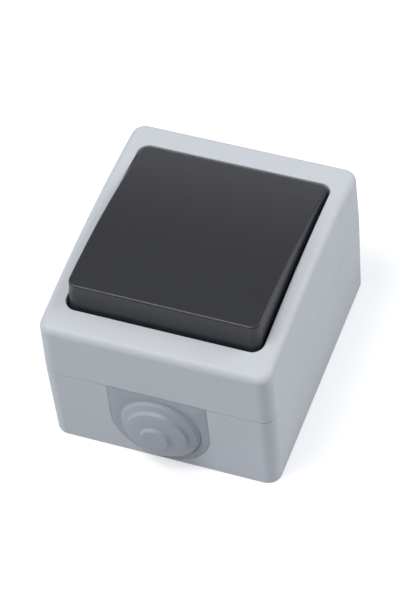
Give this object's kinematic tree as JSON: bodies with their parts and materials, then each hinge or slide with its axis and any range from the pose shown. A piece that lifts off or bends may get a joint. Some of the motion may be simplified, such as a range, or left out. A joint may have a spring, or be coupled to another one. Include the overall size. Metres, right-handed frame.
{
  "type": "surface mounted light switch",
  "caption": "Surface mounted rocker switch for damp rooms: drafted housing with crowned cover, tilting rocker over a sunken tray, stepped cable grommet and a changeover mechanism.",
  "frame": {"origin": "centre of the flat back of the housing, where it meets the wall", "axes": "+Z out of the wall towards the rocker, -Y towards the cable grommet, +X to the right with the grommet below"},
  "size_m": [0.066, 0.0816, 0.0545],
  "materials": {
    "housing_plastic": "fine spark-eroded texture",
    "rocker_plastic": "fine spark-eroded texture",
    "grommet_rubber": "soft matt",
    "seal_rubber": "soft matt",
    "inner_plastic": "moulded",
    "mechanism_plastic": "moulded",
    "plunger_plastic": "smooth moulded",
    "strip_brass": "pressed",
    "strip_copper": "pressed",
    "contact_silver": "bright",
    "zinc_plated_steel": "zinc plated",
    "bright_steel": "bright drawn"
  },
  "bodies": {
    "root": {"base": "housing_plastic", "cover": "housing_plastic", "cover_gasket": "seal_rubber", "cover_screws": "zinc_plated_steel", "cover_screw_seals": "seal_rubber", "cable_grommet": "grommet_rubber", "rocker_seal": "seal_rubber", "pivot_pin": "bright_steel", "mechanism_frame": "inner_plastic", "mechanism_body": "mechanism_plastic", "mechanism_screws": "zinc_plated_steel", "common_strip": "strip_brass", "way_one_strip": "strip_brass", "way_two_strip": "strip_brass", "fixed_contacts": "contact_silver", "common_clamp": "zinc_plated_steel", "way_one_clamp": "zinc_plated_steel", "way_two_clamp": "zinc_plated_steel", "terminal_screws": "zinc_plated_steel", "earth_terminal": "strip_brass", "earth_screw": "zinc_plated_steel"},
    "rocker": {"rocker": "rocker_plastic", "rocker_cradle": "inner_plastic", "toggle_spring": "bright_steel"},
    "plunger": {"toggle_plunger": "plunger_plastic"},
    "bridge": {"contact_bridge": "strip_copper", "moving_contacts": "contact_silver"}
  },
  "joints": [
    {"name": "rocker_tilt", "type": "hinge", "parent": "root", "child": "rocker", "pos_m": [0, 0, 0.0445], "axis": [1, 0, 0], "range_deg": [0, 15], "deforming": ["rocker_seal"]},
    {"name": "bridge_tilt", "type": "hinge", "parent": "root", "child": "bridge", "pos_m": [0, 0, 0.0261], "axis": [1, 0, 0], "range_deg": [-16, 0]},
    {"name": "plunger_slide", "type": "slide", "parent": "rocker", "child": "plunger", "axis": [0, 0.1305, 0.9914], "range_m": [0, 0.0006], "stiffness_N_per_m": 100, "springref_m": -0.006, "deforming": ["toggle_spring"]}
  ],
  "couplings": [
    {"joint": "bridge_tilt", "follows": "rocker_tilt", "ratio": -1.0667}
  ]
}
